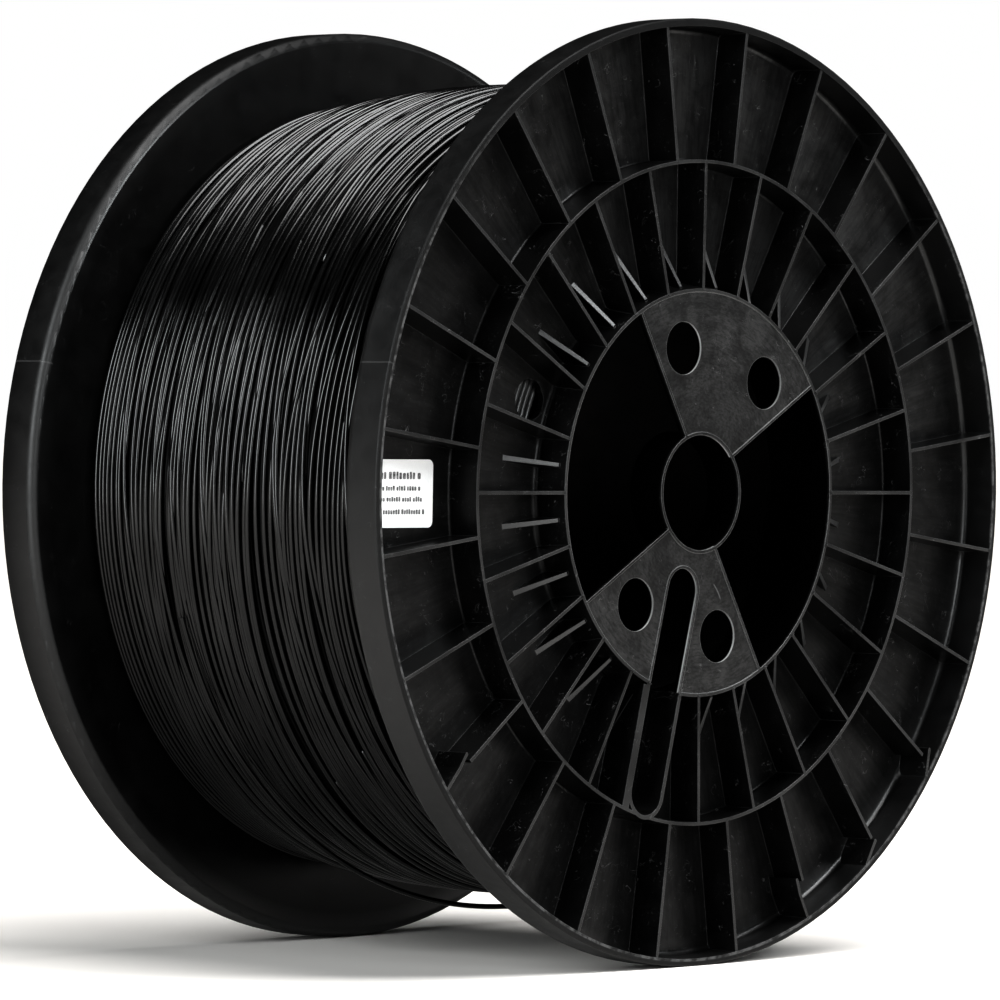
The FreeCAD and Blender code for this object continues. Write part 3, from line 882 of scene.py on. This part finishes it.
def moulded_plastic(name, dark, light):
    """Satin black moulding: grain, cloudy gloss, dust, parting lines, lighter edges and scuffed web faces,
    with painted light on the floors, painted highlights on the rib tops, gussets, hub edges, the rim's front
    edge and the holes' walls, and painted shade in the hub.
    """
    s = Moulding(name, dark, light)
    haze_and_top_light = s.paint_floors()
    scuffed = s.paint_web()
    tops = s.paint_tops()
    gussets = s.paint_gussets()
    s.paint_dust()
    rounded = s.paint_edges_and_edge_highlights()
    hollow_shade = s.paint_hub_shade_and_hole_highlights()
    line = s.paint_parting_lines()
    # the painted shade in the hub also takes most of the gloss away
    shine = s.product(s.ramp(hollow_shade, 0.0, 1.0, 0.5, 0.04), s.gloss(haze_and_top_light, scuffed, tops, gussets))
    s.set(Base_Color=s.colour, Roughness=s.roughness(scuffed), Specular_IOR_Level=shine)
    s.set(Normal=s.bump(s.relief(line), 0.05, 0.6, normal=rounded))
    return s.material


def filament_plastic(name, dark, light, roughness, shine):
    """Extruded filament with slow changes of colour and gloss, which mirrors the floor less low down."""
    s = Shader(name)
    slow = s.noise(22.0, detail=2.0)
    fine = s.noise(5.0, detail=2.0)
    height = s.ramp(s.axis("Z"), -60.0, 40.0, 0.56, 1.0)
    s.set(Base_Color=s.blend(s.ramp(slow, 0.3, 0.7), grey(dark), grey(light)))
    s.set(Roughness=s.ramp(slow, 0.3, 0.7, roughness - 0.04, roughness + 0.04))
    s.set(Specular_IOR_Level=s.product(s.ramp(slow, 0.3, 0.7, 0.85 * shine, 1.15 * shine), height))
    s.set(Normal=s.bump(fine, 0.02, 0.5))
    return s.material


def core_shade_plastic(name):
    """Matt black core tube, painted darker and less glossy than the flanges as painted shade, since hardly
    any light reaches it.
    """
    s = Shader(name)
    cloud = s.noise(9.0, detail=4.0)
    s.set(Base_Color=s.blend(s.ramp(cloud, 0.3, 0.7), grey(0.0004), grey(0.0008)))
    s.set(Roughness=s.ramp(cloud, 0.3, 0.7, 0.55, 0.7), Specular_IOR_Level=0.05)
    s.set(Normal=s.bump(s.noise(0.45, detail=2.0), 0.05, 0.5))
    return s.material


def label_paper(name):
    """Matt white paper with fine fibres."""
    s = Shader(name)
    fibre = s.noise(0.35, detail=4.0)
    s.set(Base_Color=s.blend(s.ramp(fibre, 0.3, 0.7), grey(0.62), grey(0.68)), Roughness=0.6)
    s.set(Normal=s.bump(fibre, 0.02, 0.4))
    return s.material


def printing_ink(name):
    """Dark ink that covers unevenly."""
    s = Shader(name)
    patchy = s.noise(0.55, detail=2.0, stretch=(1.0, 1.0, 0.45))
    s.set(Base_Color=s.blend(s.ramp(patchy, 0.4, 0.6), grey(0.03), grey(0.2)), Roughness=0.5)
    return s.material


def floor_paint(name):
    """Plain pale paint, slightly cloudy."""
    s = Shader(name)
    cloud = s.noise(160.0, detail=3.0)
    darker = grey(0.96 * FLOOR_GREY, FLOOR_WARMTH)
    lighter = grey(FLOOR_GREY, FLOOR_WARMTH)
    s.set(Base_Color=s.blend(s.ramp(cloud, 0.3, 0.7), darker, lighter), Roughness=0.7, Specular_IOR_Level=0.2)
    return s.material


def give(material, *objects):
    """One material put on each of the objects."""
    for piece in objects:
        piece.data.materials.clear()
        piece.data.materials.append(material)


# ---------------------------------------------------------------- stage and light
def add_floor():
    """The pale floor that the spool stands on."""
    half = STAGE_HALF_SIZE
    z = CAD_BOX[0][2]
    data = bpy.data.meshes.new("floor")
    corners = [(-half, -half, z), (half, -half, z), (half, half, z), (-half, half, z)]
    data.from_pydata(corners, [], [(0, 1, 2, 3)])
    floor = bpy.data.objects.new("floor", data)
    bpy.context.scene.collection.objects.link(floor)
    return floor


def add_lamp(name, data, place):
    """A lamp at a place, turned towards the spool's middle and out of the camera's sight."""
    lamp = bpy.data.objects.new(name, data)
    bpy.context.scene.collection.objects.link(lamp)
    lamp.location = place
    lamp.rotation_euler = (-place).to_track_quat("-Z", "Y").to_euler()
    lamp.visible_camera = False
    return lamp


# each soft rectangle: name, azimuth, elevation, distance, width, height, brightness
SOFTBOXES = (
    ("left", -82.0, 18.0, 2.2, 0.9, 1.75, 17.0),
    ("front", -21.0, 13.0, 2.6, 0.9, 0.75, 15.0),
    ("front_right", 62.0, 16.0, 2.8, 0.6, 0.8, 7.0),
    ("front_top", 24.0, 33.0, 2.6, 0.9, 0.6, 23.0),
)


def softbox(name, azimuth, elevation, distance, width, height, radiance):
    """A soft rectangle of light, whose brightness is the one that a mirror would show."""
    data = bpy.data.lights.new(name, "AREA")
    data.shape = "RECTANGLE"
    data.size, data.size_y = width, height
    data.energy = math.pi * width * height * radiance
    data.color = STUDIO_TINT
    return add_lamp(name, data, distance * direction(azimuth, elevation))


def sky_panel(name, azimuth, elevation, spread, irradiance):
    """A round soft light far away, spread degrees across, which lights the whole floor evenly."""
    data = bpy.data.lights.new(name, "SUN")
    data.angle = math.radians(spread)
    data.energy = irradiance
    return add_lamp(name, data, 4.0 * direction(azimuth, elevation))


def add_world():
    """A white background for the camera, which lights the spool only faintly."""
    world = bpy.data.worlds.new("studio")
    bpy.context.scene.world = world
    world.use_nodes = True
    tree = world.node_tree
    background = tree.nodes["Background"]
    background.inputs["Color"].default_value = (1.0, 1.0, 1.0, 1.0)
    seen = tree.nodes.new("ShaderNodeLightPath").outputs["Is Camera Ray"]
    level = tree.nodes.new("ShaderNodeMapRange")
    level.inputs["To Min"].default_value = ROOM_LIGHT
    level.inputs["To Max"].default_value = BACKDROP_LIGHT
    tree.links.new(seen, level.inputs["Value"])
    tree.links.new(level.outputs["Result"], background.inputs["Strength"])


def add_light():
    """The studio's lights."""
    add_world()
    sky_panel("overhead", azimuth=28.0, elevation=67.0, spread=50.0, irradiance=6.4)
    for name, azimuth, elevation, distance, width, height, radiance in SOFTBOXES:
        softbox(name, azimuth, elevation, distance, width, height, radiance)


def set_tone():
    """The Standard view, with a gamma below 1 that deepens the dark tones."""
    view = bpy.context.scene.view_settings
    view.view_transform = "Standard"
    view.look = "None"
    view.exposure = 0.0
    view.gamma = 0.75


def give_materials(tail, winding, paper, ink):
    """A material on every visible piece."""
    # the filament in three copies: the one in light; a darker, duller copy as painted shade on the under
    # layer and the core; and a lighter, glossier copy as painted light on the front end turns, which show
    # through the view hole
    in_light = filament_plastic("filament_gloss", dark=0.0006, light=0.0014, roughness=0.2, shine=0.5)
    in_shade = filament_plastic("filament_in_shade", dark=0.0002, light=0.0005, roughness=0.45, shine=0.12)
    lit_at_view_hole = filament_plastic("filament_painted_light_at_view_hole", dark=0.03, light=0.045, roughness=0.3, shine=1.0)
    moulding = moulded_plastic("flange_moulding", dark=0.0010, light=0.0024)
    give(in_light, tail, winding["outer"], winding["crossing"], winding["rear_end"])
    give(in_shade, winding["under"], winding["core"])
    give(lit_at_view_hole, winding["front_end"])
    give(moulding, NODES["front_flange"], NODES["rear_flange"])
    give(core_shade_plastic("core_tube_painted_shade"), NODES["barrel"])
    give(label_paper("label_paper"), paper)
    give(printing_ink("label_ink"), ink)


set_tone()
add_camera()
loose_end = add_tail()
winding_pieces = add_winding()
label_sheet = add_label_sheet()
label_print = add_label_print()
give_materials(loose_end, winding_pieces, label_sheet, label_print)
give(floor_paint("floor_paint"), add_floor())
add_light()
